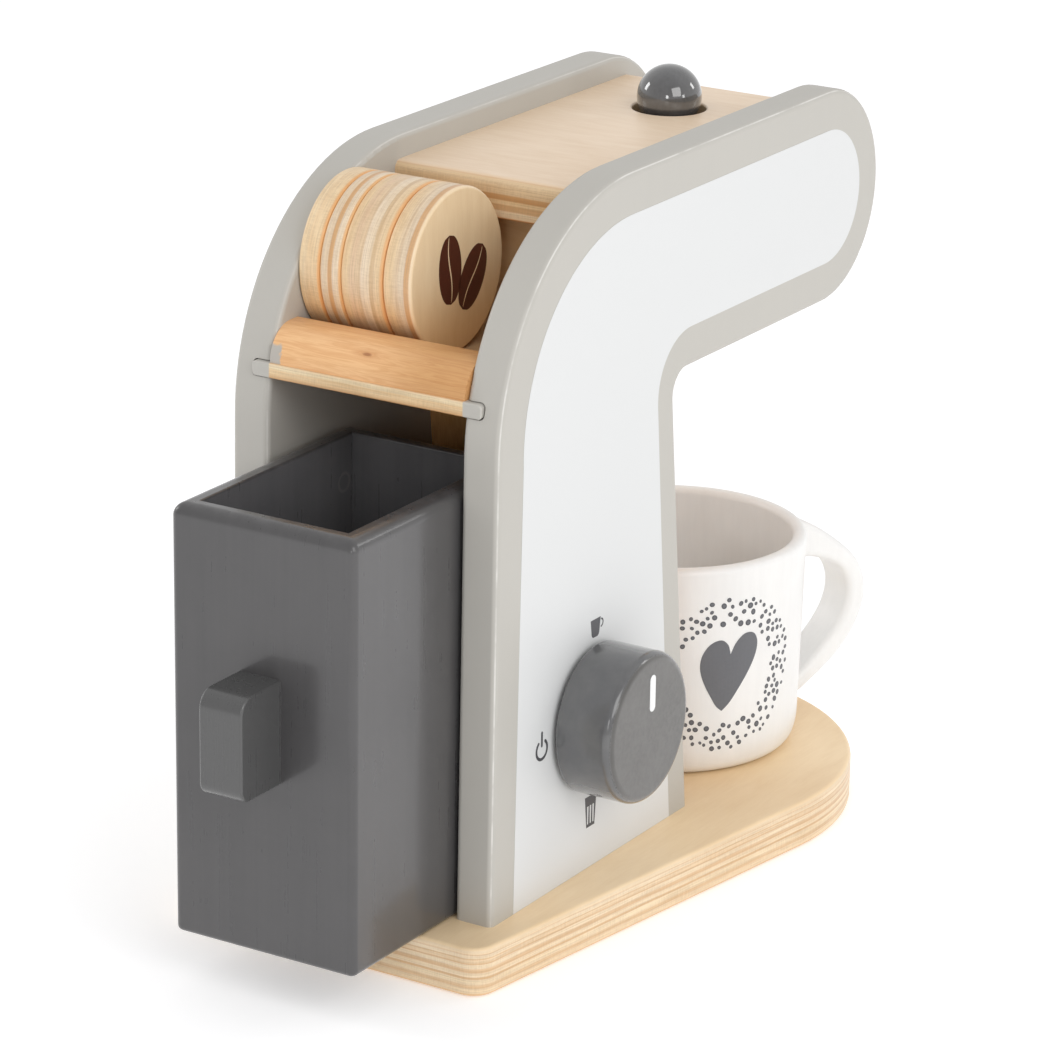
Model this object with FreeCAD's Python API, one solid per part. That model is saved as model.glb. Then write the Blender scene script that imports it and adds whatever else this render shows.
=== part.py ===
import FreeCAD, Part
import os
import math
from FreeCAD import Vector as V

os.makedirs("parts", exist_ok=True)

# ---------------------------------------------------------------- dimensions
# millimetres, +Z up.  X runs across the machine (knob side at -X), the mug
# stands at the front (-Y) and the bean tank slides out at the back (+Y).
# The origin is the middle of the base board's underside.

YB = 81.6            # back plane of the two side panels

# base board
BASE_T = 12.0
BASE_BACK_Y = YB + 13.4
BASE_BACK_HALF = 41.6
BASE_BACK_R = 6.0
BASE_FRONT_R = 60.2
BASE_FRONT_CY = YB - 116.4
BASE_EDGE_R = 1.2

# side panels
BAY_HALF = 26.5      # half of the clear width between the panels
PAN_T = 10.0
PAN_TOP = 180.0
PAN_BACK_LEAN = 1.2
PAN_BACK_R = 57.0
HEAD_H = 54.0
HEAD_FRONT = YB - 179.5
COL_FRONT_TOP_Y = YB - 78.5
COL_FRONT_BOT_Y = YB - 90.2
NOOK_R = 6.0
PAN_EDGE_R = 1.5

# tray of beans: shelf board in two grooves, with a rail at the back
SHELF_Z0 = 133.6
SHELF_T = 3.6
SHELF_TAB = 4.8
GROOVE_D = 5.2
GROOVE_CL = 0.2
GROOVE_R = 1.3
TAB_R = 1.1
SHELF_BACK = YB - 1.3
SHELF_FRONT = YB - 61.0
RAIL_H = 8.3
RAIL_BACK = YB - 1.9
RAIL_D = 12.0

# boards of the head
TOP_T = 9.7
TOP_Z = 174.1
TOP_BACK = YB - 53.7
TOP_FRONT = YB - 162.3
HEADB_Z0 = 128.5
HEADB_T = 6.0
HEAD_WALL_T = 6.0
BOARD_R = 0.8

# column front board
CFB_RECESS = 2.5
CFB_T = 8.0

# knob
KNOB_Y = YB - 43.2
KNOB_Z = 50.9
KNOB_R = 18.4
KNOB_L = 15.0
KNOB_GAP = 1.1
KNOB_EDGE_R = 2.2
AXLE_R = 3.0
AXLE_CL = 0.06
AXLE_HEAD_R = 7.0
AXLE_HEAD_T = 2.4
COUNTERBORE_R = 7.5
COUNTERBORE_D = 3.2

# push button under the ball
BTN_Y = YB - 136.6
BALL_R = 8.1
BALL_Z = 176.8
BTN_HOLE_R = 9.2
STEM_R = 3.0
STEM_CL = 0.06
STEM_Z0 = 142.0
STEM_TOP = 173.0
GUIDE_Z0 = 146.0
GUIDE_T = 8.0
GUIDE_W = 22.0
SEAT_Z0 = 164.4
SEAT_T = 2.0
SEAT_R = 5.5
STOP_T = 3.0
STOP_R = 6.0
SPRING_WIRE = 0.35
SPRING_R = 4.1
SPRING_TURNS = 5
BTN_TRAVEL = 4.5

# coffee spout under the head
SPOUT_Y = YB - 131.0
SPOUT_R = 6.0
SPOUT_TIP_Z = 113.0
SPOUT_BORE_R = 2.2

# bean tank, standing partly pulled out
TANK_X0 = -25.9
TANK_X1 = 23.7
TANK_BACK_Y = YB + 41.3
TANK_L = 70.6
TANK_H = 104.0
TANK_WALL = 5.0
TANK_Z0 = BASE_T
TANK_RIM_R = 3.0
TANK_CORNER_R = 1.8
TANK_FOOT_R = 1.4
TANK_INNER_R = 0.5
HANDLE_W = 11.5
HANDLE_H = 25.0
HANDLE_D = 15.4
HANDLE_X = -0.5
HANDLE_Z = 67.3
HANDLE_TOP_R = 4.4
HANDLE_LOW_R = 3.2
HANDLE_ARRIS_R = 0.6

# bean discs standing on edge in the tray
DISC_R = 19.7
DISC_Y = YB - 32.8
DISC_T = (5.75, 5.75, 11.45, 7.75)
DISC_GAP = 0.08
DISC_EDGE_R = 0.8

# mug
MUG_X = -6.9
MUG_Y = YB - 130.9
MUG_H = 55.6
MUG_RIM_R = 34.25
MUG_FOOT_R1 = 15.0
MUG_WALL_LOW_R = 33.2
MUG_WALL = 3.6
MUG_FLOOR = 4.0
MUG_ANGLE_D = (-0.4279, -0.9038)   # direction of the handle, seen from above
MUG_HANDLE_W = 12.0


# ---------------------------------------------------------------- helpers
def box(x0, x1, y0, y1, z0, z1):
    return Part.makeBox(x1 - x0, y1 - y0, z1 - z0, V(x0, y0, z0))


def cyl(p, axis, r, h):
    return Part.makeCylinder(r, h, V(*p), V(*axis))


def pick(shape, test):
    return [e for e in shape.Edges if test(e)]


def along(e, d, tol=1e-3):
    if not isinstance(e.Curve, (Part.Line, Part.LineSegment)):
        return False
    t = e.tangentAt(e.FirstParameter)
    return abs(abs(t.dot(V(*d))) - 1) < tol


def rounded(shape, r, test=None):
    edges = shape.Edges if test is None else pick(shape, test)
    return shape.makeFillet(r, edges)


def board(x0, x1, y0, y1, z0, z1, r=BOARD_R):
    return rounded(box(x0, x1, y0, y1, z0, z1), r)


def prism_x(edges, x0, x1):
    """A face drawn in the YZ plane at x0, pushed along X to x1."""
    w = Part.Wire(Part.__sortEdges__(edges))
    return Part.Face(w).extrude(V(x1 - x0, 0, 0))


def seg(a, b):
    return Part.LineSegment(V(*a), V(*b)).toShape()


def arc(a, m, b):
    return Part.Arc(V(*a), V(*m), V(*b)).toShape()


def revolve_z(pts, cx, cy):
    """pts are (kind, r, z) or arcs ('arc', rm, zm, r, z), closed on the axis."""
    edges = []
    cur = (pts[0][1], pts[0][2])
    for q in pts[1:]:
        if q[0] == 'arc':
            m, e = (q[1], q[2]), (q[3], q[4])
            edges.append(arc((cx + cur[0], cy, cur[1]), (cx + m[0], cy, m[1]), (cx + e[0], cy, e[1])))
            cur = e
        else:
            e = (q[1], q[2])
            edges.append(seg((cx + cur[0], cy, cur[1]), (cx + e[0], cy, e[1])))
            cur = e
    f = Part.Face(Part.Wire(edges))
    return f.revolve(V(cx, cy, 0), V(0, 0, 1), 360)


nodes = {}


# ---------------------------------------------------------------- base board
def make_base():
    r, cy = BASE_FRONT_R, BASE_FRONT_CY
    yb, hb = BASE_BACK_Y, BASE_BACK_HALF
    # tangent point of a line from the back corner to the round front
    dx, dy = hb, yb - cy
    d = math.hypot(dx, dy)
    a0 = math.atan2(dy, dx)
    a = a0 - math.acos(r / d)
    tx, ty = r * math.cos(a), cy + r * math.sin(a)
    e = [seg((-hb, yb, 0), (hb, yb, 0)), seg((hb, yb, 0), (tx, ty, 0)),
         arc((tx, ty, 0), (0, cy - r, 0), (-tx, ty, 0)), seg((-tx, ty, 0), (-hb, yb, 0))]
    s = Part.Face(Part.Wire(e)).extrude(V(0, 0, BASE_T))
    s = rounded(s, BASE_BACK_R, lambda q: along(q, (0, 0, 1)) and q.BoundBox.YMin > yb - 0.1)
    s = rounded(s, BASE_EDGE_R, lambda q: q.BoundBox.ZLength < 1e-6)
    return s


base = make_base()


# ---------------------------------------------------------------- side panels
def panel_edges(x):
    zt, zu = PAN_TOP, PAN_TOP - HEAD_H
    rc = HEAD_H / 2.0
    ycap = HEAD_FRONT + rc
    y_low, y_high = YB + 0.3, YB + 0.3 - PAN_BACK_LEAN
    zc = zt - PAN_BACK_R
    yc = y_high - PAN_BACK_R
    k = math.sqrt(0.5)
    # front of the column and the small nook fillet under the head
    cf = (COL_FRONT_BOT_Y, BASE_T)
    ct = (COL_FRONT_TOP_Y, zu)
    u = V(0, ct[0] - cf[0], ct[1] - cf[1])
    u.normalize()
    ang = math.acos(V(0, -1, 0).dot(V(0, -u.y, -u.z)))
    t = NOOK_R / math.tan(ang / 2.0)
    p1 = (x, ct[0] - u.y * t, ct[1] - u.z * t)
    p2 = (x, ct[0] - t, zu)
    bis = V(0, -1, 0) + V(0, -u.y, -u.z)
    bis.normalize()
    c = V(0, ct[0], ct[1]) + bis * (NOOK_R / math.sin(ang / 2.0))
    m = c - bis * NOOK_R
    return [
        seg((x, y_low, BASE_T), (x, y_high, zc)),
        arc((x, y_high, zc), (x, yc + PAN_BACK_R * k, zc + PAN_BACK_R * k), (x, yc, zt)),
        seg((x, yc, zt), (x, ycap, zt)),
        arc((x, ycap, zt), (x, HEAD_FRONT, zt - rc), (x, ycap, zu)),
        seg((x, ycap, zu), p2),
        arc(p2, (x, m.y, m.z), p1),
        seg(p1, (x, cf[0], cf[1])),
        seg((x, cf[0], cf[1]), (x, y_low, BASE_T)),
    ]


def make_panel(side):
    x0 = BAY_HALF if side > 0 else -BAY_HALF - PAN_T
    s = prism_x(panel_edges(x0), x0, x0 + PAN_T)
    s = rounded(s, PAN_EDGE_R, lambda q: q.BoundBox.XLength < 1e-6 and q.BoundBox.ZMax > BASE_T + 0.1)
    # groove for the shelf board, open at the back edge
    g0, g1 = (BAY_HALF - 1, BAY_HALF + GROOVE_D) if side > 0 else (-BAY_HALF - GROOVE_D, -BAY_HALF + 1)
    slot = box(g0, g1, SHELF_FRONT - 0.2, YB + 3, SHELF_Z0 - GROOVE_CL, SHELF_Z0 + SHELF_T + GROOVE_CL)
    xe = (BAY_HALF + GROOVE_D) * side
    slot = rounded(slot, GROOVE_R, lambda q: along(q, (0, 1, 0)) and abs(q.BoundBox.Center.x - xe) < 0.1)
    return s.cut(slot)


panel_k = make_panel(-1)
panel_p = make_panel(+1)
# knob bore through the panel, with a counterbore on the inside
panel_k = panel_k.cut(cyl((-BAY_HALF - PAN_T - 1, KNOB_Y, KNOB_Z), (1, 0, 0), AXLE_R + AXLE_CL, PAN_T + 2))
panel_k = panel_k.cut(cyl((-BAY_HALF - COUNTERBORE_D, KNOB_Y, KNOB_Z), (1, 0, 0), COUNTERBORE_R, COUNTERBORE_D + 1))

# ---------------------------------------------------------------- tray
shelf = box(-BAY_HALF - SHELF_TAB, BAY_HALF + SHELF_TAB, SHELF_FRONT, SHELF_BACK, SHELF_Z0, SHELF_Z0 + SHELF_T)
shelf = rounded(shelf, TAB_R, lambda q: along(q, (0, 1, 0)))
shelf = rounded(shelf, 0.4, lambda q: q.BoundBox.YMin > SHELF_BACK - 0.1)


def make_rail():
    z0 = SHELF_Z0 + SHELF_T
    y0, y1 = RAIL_BACK, RAIL_BACK - RAIL_D
    r = RAIL_H
    k = math.sqrt(0.5)
    x = -BAY_HALF
    e = [seg((x, y1, z0), (x, y0, z0)),
         arc((x, y0, z0), (x, y0 - r + r * k, z0 + r * k), (x, y0 - r, z0 + r)),
         seg((x, y0 - r, z0 + r), (x, y1 + 0.8, z0 + r)),
         arc((x, y1 + 0.8, z0 + r), (x, y1 + 0.8 - 0.8 * k, z0 + r - 0.8 + 0.8 * k), (x, y1, z0 + r - 0.8)),
         seg((x, y1, z0 + r - 0.8), (x, y1, z0))]
    return prism_x(e, x, BAY_HALF)


rail = make_rail()

# ---------------------------------------------------------------- head boards
top = box(-BAY_HALF, BAY_HALF, TOP_FRONT, TOP_BACK, TOP_Z - TOP_T, TOP_Z)
top = rounded(top, 2.2, lambda q: along(q, (1, 0, 0)) and q.BoundBox.ZMin > TOP_Z - 0.1)
hole = cyl((0, BTN_Y, TOP_Z - TOP_T - 1), (0, 0, 1), BTN_HOLE_R, TOP_T + 2)
top = top.cut(hole)
top = rounded(top, 0.6, lambda q: isinstance(q.Curve, Part.Circle) and abs(q.Curve.Radius - BTN_HOLE_R) < 1e-3
              and q.BoundBox.ZMin > TOP_Z - 0.1 and q.BoundBox.ZLength < 1e-6)

head_bottom = box(-BAY_HALF, BAY_HALF, TOP_FRONT, SHELF_FRONT, HEADB_Z0, HEADB_Z0 + HEADB_T)
head_bottom = rounded(head_bottom, 1.0, lambda q: along(q, (1, 0, 0)) and q.BoundBox.YMax < TOP_FRONT + 0.1)
# shelf's front edge meets the head back board, which stands on the head bottom board
head_back = box(-BAY_HALF, BAY_HALF, SHELF_FRONT - HEAD_WALL_T, SHELF_FRONT, HEADB_Z0 + HEADB_T, TOP_Z - TOP_T)
head_front = box(-BAY_HALF, BAY_HALF, TOP_FRONT, TOP_FRONT + HEAD_WALL_T, HEADB_Z0 + HEADB_T, TOP_Z - TOP_T)


# ---------------------------------------------------------------- column front
def col_y(z):
    zu = PAN_TOP - HEAD_H
    f = (z - BASE_T) / (zu - BASE_T)
    return COL_FRONT_BOT_Y + f * (COL_FRONT_TOP_Y - COL_FRONT_BOT_Y)


def make_cfb():
    z0, z1, x = BASE_T, HEADB_Z0, -BAY_HALF
    a, b = CFB_RECESS, CFB_RECESS + CFB_T
    p = [(x, col_y(z0) + a, z0), (x, col_y(z0) + b, z0), (x, col_y(z1) + b, z1), (x, col_y(z1) + a, z1)]
    return prism_x([seg(p[i], p[(i + 1) % 4]) for i in range(4)], x, BAY_HALF)


cfb = make_cfb()

# ---------------------------------------------------------------- button guide and spout
guide = box(-BAY_HALF, BAY_HALF, BTN_Y - GUIDE_W / 2, BTN_Y + GUIDE_W / 2, GUIDE_Z0, GUIDE_Z0 + GUIDE_T)
guide = guide.cut(cyl((0, BTN_Y, GUIDE_Z0 - 1), (0, 0, 1), STEM_R + STEM_CL, GUIDE_T + 2))

spout = cyl((0, SPOUT_Y, SPOUT_TIP_Z), (0, 0, 1), SPOUT_R, HEADB_Z0 - SPOUT_TIP_Z)
spout = spout.fuse(cyl((0, SPOUT_Y, HEADB_Z0 - 0.01), (0, 0, 1), 4.0, HEADB_T + 0.01)).removeSplitter()
spout = rounded(spout, 1.6, lambda q: isinstance(q.Curve, Part.Circle) and q.BoundBox.ZMax < SPOUT_TIP_Z + 0.1)
spout = spout.cut(cyl((0, SPOUT_Y, SPOUT_TIP_Z - 1), (0, 0, 1), SPOUT_BORE_R, 9.0))
head_bottom = head_bottom.cut(cyl((0, SPOUT_Y, HEADB_Z0 - 1), (0, 0, 1), 4.0, HEADB_T + 2))

# ---------------------------------------------------------------- glued dowels across the joints
DOWEL_R = 2.5
DOWEL_IN_PANEL = 6.0
DOWEL_IN_BOARD = 13.0
dowel_at = [(YB - 82, TOP_Z - TOP_T / 2), (YB - 112, TOP_Z - TOP_T / 2), (YB - 157, TOP_Z - TOP_T / 2)]
dowel_small = [(YB - 84, HEADB_Z0 + HEADB_T / 2), (YB - 114, HEADB_Z0 + HEADB_T / 2), (YB - 157, HEADB_Z0 + HEADB_T / 2),
               (col_y(40) + CFB_RECESS + CFB_T / 2, 40.0), (col_y(78) + CFB_RECESS + CFB_T / 2, 78.0),
               (col_y(112) + CFB_RECESS + CFB_T / 2, 112.0)]
dowels = []
for lst, r in ((dowel_at, DOWEL_R), (dowel_small, 1.75)):
    for (y, z) in lst:
        for sx in (-1, 1):
            x0 = BAY_HALF - DOWEL_IN_BOARD if sx > 0 else -BAY_HALF - DOWEL_IN_PANEL
            d = cyl((x0, y, z), (1, 0, 0), r, DOWEL_IN_BOARD + DOWEL_IN_PANEL)
            dowels.append(d)
for d in dowels:
    if d.BoundBox.Center.x > 0:
        panel_p = panel_p.cut(d)
    else:
        panel_k = panel_k.cut(d)
for i, d in enumerate(dowels):
    c = d.BoundBox.Center
    if c.z > 160:
        top = top.cut(d)
    elif c.z > HEADB_Z0 and c.z < HEADB_Z0 + HEADB_T:
        head_bottom = head_bottom.cut(d)
    else:
        cfb = cfb.cut(d)

# ---------------------------------------------------------------- base screws, up into the panels
SCREW_R = 2.0
SCREW_L = 34.0
SCREW_HEAD_R = 4.0
screws = []
for sx in (-1, 1):
    for dy in (14.0, 46.0, 76.0):
        x, y = sx * (BAY_HALF + PAN_T / 2), YB - dy
        shank = cyl((x, y, 0.4), (0, 0, 1), SCREW_R, SCREW_L - 4)
        tip = Part.makeCone(SCREW_R, 0.3, 4.0, V(x, y, SCREW_L - 3.6), V(0, 0, 1))
        head = Part.makeCone(SCREW_HEAD_R, SCREW_R, 2.3, V(x, y, 0.4), V(0, 0, 1))
        s = shank.fuse(tip).fuse(head).removeSplitter()
        base = base.cut(s).cut(cyl((x, y, -1), (0, 0, 1), SCREW_HEAD_R, 1.4))
        if sx > 0:
            panel_p = panel_p.cut(s)
        else:
            panel_k = panel_k.cut(s)
        slot = box(x - 2.2, x + 2.2, y - 0.4, y + 0.4, 0.3, 1.3).fuse(box(x - 0.4, x + 0.4, y - 2.2, y + 2.2, 0.3, 1.3))
        screws.append(s.cut(slot))

nodes['base_board'] = base
nodes['side_panel_knob'] = panel_k
nodes['side_panel_plain'] = panel_p
nodes['shelf_board'] = shelf
nodes['retaining_rail'] = rail
nodes['head_top_board'] = top
nodes['head_back_board'] = head_back
nodes['head_front_board'] = head_front
nodes['head_bottom_board'] = head_bottom
nodes['column_front_board'] = cfb
nodes['button_guide_block'] = guide
nodes['coffee_spout'] = spout
nodes['panel_dowels'] = Part.makeCompound(dowels)
nodes['base_screws'] = Part.makeCompound(screws)

# ---------------------------------------------------------------- knob, its axle and washer
kx1 = -BAY_HALF - PAN_T - KNOB_GAP
kx0 = kx1 - KNOB_L
knob = cyl((kx0, KNOB_Y, KNOB_Z), (1, 0, 0), KNOB_R, KNOB_L)
knob = rounded(knob, KNOB_EDGE_R, lambda q: isinstance(q.Curve, Part.Circle) and q.BoundBox.XMax < kx0 + 0.1)
knob = rounded(knob, 0.8, lambda q: isinstance(q.Curve, Part.Circle) and q.BoundBox.XMin > kx1 - 0.1
               and abs(q.Curve.Radius - KNOB_R) < 0.01)
axle_x0 = kx0 + 4.0
axle_x1 = -BAY_HALF - COUNTERBORE_D + 0.1
axle = cyl((axle_x0, KNOB_Y, KNOB_Z), (1, 0, 0), AXLE_R, axle_x1 - axle_x0 + 0.01)
axle = axle.fuse(cyl((axle_x1, KNOB_Y, KNOB_Z), (1, 0, 0), AXLE_HEAD_R, AXLE_HEAD_T)).removeSplitter()
axle = rounded(axle, 0.5, lambda q: isinstance(q.Curve, Part.Circle) and q.BoundBox.XMin > axle_x1 + AXLE_HEAD_T - 0.1)
axle = axle.cut(box(axle_x1 + AXLE_HEAD_T - 1.0, axle_x1 + AXLE_HEAD_T + 1, KNOB_Y - 0.6, KNOB_Y + 0.6, KNOB_Z - 9, KNOB_Z + 9))
knob = knob.cut(cyl((axle_x0, KNOB_Y, KNOB_Z), (1, 0, 0), AXLE_R, KNOB_L))
washer = cyl((kx1, KNOB_Y, KNOB_Z), (1, 0, 0), 8.0, KNOB_GAP - 0.15).cut(
    cyl((kx1 - 1, KNOB_Y, KNOB_Z), (1, 0, 0), AXLE_R + 0.1, KNOB_GAP + 2))
nodes['knob'] = knob
nodes['knob_axle'] = axle
nodes['knob_washer'] = washer

# ---------------------------------------------------------------- push button
ball = Part.makeSphere(BALL_R, V(0, BTN_Y, BALL_Z))
ball = ball.cut(cyl((0, BTN_Y, BALL_Z - BALL_R - 1), (0, 0, 1), STEM_R, STEM_TOP - (BALL_Z - BALL_R - 1)))
stem = cyl((0, BTN_Y, STEM_Z0), (0, 0, 1), STEM_R, STEM_TOP - STEM_Z0)
stem = rounded(stem, 0.5, lambda q: isinstance(q.Curve, Part.Circle) and q.BoundBox.ZMax < STEM_Z0 + 0.1)


def ring(z0, t, ro):
    s = cyl((0, BTN_Y, z0), (0, 0, 1), ro, t)
    s = rounded(s, 0.4)
    return s.cut(cyl((0, BTN_Y, z0 - 1), (0, 0, 1), STEM_R, t + 2))


seat = ring(SEAT_Z0, SEAT_T, SEAT_R)
stop = ring(GUIDE_Z0 - STOP_T - 0.05, STOP_T, STOP_R)
# compression spring between the guide block and the seat under the ball
sp_z0 = GUIDE_Z0 + GUIDE_T + SPRING_WIRE + 0.1
sp_z1 = SEAT_Z0 - SPRING_WIRE - 0.1
pitch = (sp_z1 - sp_z0) / SPRING_TURNS
helix = Part.makeHelix(pitch, sp_z1 - sp_z0, SPRING_R)
helix.translate(V(0, BTN_Y, sp_z0))
prof = Part.Wire(Part.makeCircle(SPRING_WIRE, V(SPRING_R, BTN_Y, sp_z0), V(0, 1, pitch / (2 * math.pi * SPRING_R))))
spring = Part.Wire(helix.Edges).makePipeShell([prof], True, True)
nodes['button_ball'] = ball
nodes['button_stem'] = stem
nodes['button_spring_seat'] = seat
nodes['button_stop_collar'] = stop
nodes['button_spring'] = spring

# ---------------------------------------------------------------- bean tank
ty1, ty0 = TANK_BACK_Y, TANK_BACK_Y - TANK_L
tz0, tz1 = TANK_Z0, TANK_Z0 + TANK_H
w = TANK_WALL
# the outer edges are rounded over after glueing, so the boards are cut from one block
block = box(TANK_X0, TANK_X1, ty0, ty1, tz0, tz1)
block = rounded(block, TANK_CORNER_R, lambda q: along(q, (0, 0, 1)))
block = rounded(block, TANK_RIM_R, lambda q: q.BoundBox.ZMin > tz1 - 0.1)
block = rounded(block, TANK_FOOT_R, lambda q: q.BoundBox.ZMax < tz0 + 0.1)
hollow = box(TANK_X0 + w, TANK_X1 - w, ty0 + w, ty1 - w, tz0 - 1, tz1 + 1)
shell = block.cut(hollow)
shell = rounded(shell, TANK_INNER_R, lambda q: q.BoundBox.ZMin > tz1 - 0.1 and q.BoundBox.XMin > TANK_X0 + w - 0.1
                and q.BoundBox.XMax < TANK_X1 - w + 0.1 and q.BoundBox.YMin > ty0 + w - 0.1 and q.BoundBox.YMax < ty1 - w + 0.1)
t_back = shell.common(box(TANK_X0 - 1, TANK_X1 + 1, ty1 - w, ty1 + 1, tz0 - 1, tz1 + 1))
t_front = shell.common(box(TANK_X0 - 1, TANK_X1 + 1, ty0 - 1, ty0 + w, tz0 - 1, tz1 + 1))
t_k = shell.common(box(TANK_X0 - 1, TANK_X0 + w, ty0 + w, ty1 - w, tz0 - 1, tz1 + 1))
t_p = shell.common(box(TANK_X1 - w, TANK_X1 + 1, ty0 + w, ty1 - w, tz0 - 1, tz1 + 1))
t_bot = box(TANK_X0 + w, TANK_X1 - w, ty0 + w, ty1 - w, tz0 + 0.4, tz0 + 0.4 + w)
hx0, hx1 = HANDLE_X - HANDLE_W / 2, HANDLE_X + HANDLE_W / 2
hz0, hz1 = HANDLE_Z - HANDLE_H / 2, HANDLE_Z + HANDLE_H / 2
handle = box(hx0, hx1, ty1, ty1 + HANDLE_D, hz0, hz1)
handle = rounded(handle, HANDLE_TOP_R, lambda q: along(q, (1, 0, 0)) and q.BoundBox.YMin > ty1 + HANDLE_D - 0.1 and q.BoundBox.ZMin > HANDLE_Z)
handle = rounded(handle, HANDLE_LOW_R, lambda q: along(q, (1, 0, 0)) and q.BoundBox.YMin > ty1 + HANDLE_D - 0.1 and q.BoundBox.ZMax < HANDLE_Z)
handle = rounded(handle, HANDLE_ARRIS_R, lambda q: not along(q, (1, 0, 0)) and q.BoundBox.YMax > ty1 + 0.1)
# screw through the tank's back board into the handle block
sx_, sz_ = HANDLE_X, HANDLE_Z
hs = cyl((sx_, ty1 - w + 0.5, sz_), (0, 1, 0), 1.75, 15.0)
hs = hs.fuse(Part.makeCone(3.6, 1.75, 2.0, V(sx_, ty1 - w + 0.5, sz_), V(0, 1, 0)))
hs = hs.fuse(Part.makeCone(1.75, 0.2, 3.0, V(sx_, ty1 - w + 15.5, sz_), V(0, 1, 0))).removeSplitter()
t_back = t_back.cut(hs).cut(cyl((sx_, ty1 - w - 1, sz_), (0, 1, 0), 3.6, 1.5))
handle = handle.cut(hs)
hs = hs.cut(box(sx_ - 2.0, sx_ + 2.0, ty1 - w, ty1 - w + 1.4, sz_ - 0.35, sz_ + 0.35)).cut(
    box(sx_ - 0.35, sx_ + 0.35, ty1 - w, ty1 - w + 1.4, sz_ - 2.0, sz_ + 2.0))
nodes['tank_back_board'] = t_back
nodes['tank_front_board'] = t_front
nodes['tank_side_knob'] = t_k
nodes['tank_side_plain'] = t_p
nodes['tank_bottom_board'] = t_bot
nodes['tank_handle'] = handle
nodes['tank_handle_screw'] = hs

# ---------------------------------------------------------------- bean discs
x = BAY_HALF - 0.15
for i, t in enumerate(DISC_T):
    d = cyl((x - t, DISC_Y, SHELF_Z0 + SHELF_T + DISC_R + 0.02), (1, 0, 0), DISC_R, t)
    d = rounded(d, DISC_EDGE_R, lambda q: isinstance(q.Curve, Part.Circle))
    nodes['bean_disc_%d' % (i + 1)] = d
    x -= t + DISC_GAP


# ---------------------------------------------------------------- mug
def make_mug():
    z0 = BASE_T
    zt = z0 + MUG_H
    ro, rl = MUG_RIM_R, MUG_WALL_LOW_R
    wl = MUG_WALL
    bz = 8.0
    # corner between foot and wall: a large arc below the wall, then a small one on to the flat foot
    r1, t1 = MUG_FOOT_R1, math.radians(20.0)
    jx, jz = rl - r1 * (1 - math.cos(t1)), z0 + bz - r1 * math.sin(t1)
    r2 = (jz - z0) / (1 - math.sin(t1))
    cx2, cz2 = jx - r2 * math.cos(t1), z0 + r2
    t2 = math.radians(55.0)
    rf = cx2
    outer = [('p', 0, z0), ('p', rf, z0),
             ('arc', cx2 + r2 * math.cos(t2), cz2 - r2 * math.sin(t2), jx, jz),
             ('arc', rl - r1 * (1 - math.cos(t1 / 2)), z0 + bz - r1 * math.sin(t1 / 2), rl, z0 + bz),
             ('p', ro, zt - 1.8),
             ('arc', ro - wl / 2, zt, ro - wl, zt - 1.8),
             ('p', rl - wl + 0.2, z0 + MUG_FLOOR + 5),
             ('arc', rl - wl - 1.5, z0 + MUG_FLOOR + 1.4, rl - wl - 5.0, z0 + MUG_FLOOR),
             ('p', 0, z0 + MUG_FLOOR), ('p', 0, z0)]
    cup = revolve_z(outer, MUG_X, MUG_Y)
    # handle: a band in the vertical plane through the axis, 12 mm wide
    d = V(MUG_ANGLE_D[0], MUG_ANGLE_D[1], 0)
    d.normalize()
    n = V(-d.y, d.x, 0)
    o = [(31.4, 65.2), (36.0, 64.4), (44.0, 60.3), (50.5, 55.4), (55.8, 49.8), (58.2, 43.2), (57.3, 36.3),
         (54.1, 30.2), (49.5, 25.1), (41.0, 19.0), (36.0, 16.2), (31.4, 15.2)]
    q = [(31.4, 19.6), (38.5, 22.8), (45.3, 28.6), (50.9, 35.6), (52.6, 42.6), (50.2, 48.6), (44.3, 52.3),
         (38.0, 53.9), (31.4, 54.2)]
    c = V(MUG_X, MUG_Y, 0) - n * (MUG_HANDLE_W / 2)

    def P(a):
        return c + d * a[0] + V(0, 0, a[1])

    so = Part.BSplineCurve()
    so.interpolate([P(a) for a in o])
    si = Part.BSplineCurve()
    si.interpolate([P(a) for a in q])
    e = [so.toShape(), Part.LineSegment(P(o[-1]), P(q[0])).toShape(), si.toShape(),
         Part.LineSegment(P(q[-1]), P(o[0])).toShape()]
    h = Part.Face(Part.Wire(e)).extrude(n * MUG_HANDLE_W)
    he = [g for g in h.Edges if isinstance(g.Curve, Part.BSplineCurve)]
    h = h.makeFillet(1.9, he)
    return cup.fuse(h).removeSplitter()


mug = make_mug()
nodes['mug'] = mug

# ---------------------------------------------------------------- write
for name, s in nodes.items():
    if isinstance(s, Part.Compound) and len(s.Solids) == 1:
        s = s.Solids[0]
    s.exportStep("parts/%s.step" % name)
    print("%-22s solids %d valid %s vol %.1f mm3 box %s" % (
        name, len(s.Solids), s.isValid(), s.Volume,
        [round(v, 2) for v in (s.BoundBox.XMin, s.BoundBox.XMax, s.BoundBox.YMin, s.BoundBox.YMax, s.BoundBox.ZMin, s.BoundBox.ZMax)]))
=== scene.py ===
import math
import random
import bpy
import bmesh
from mathutils import Matrix, Vector
from mathutils.geometry import tessellate_polygon


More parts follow.
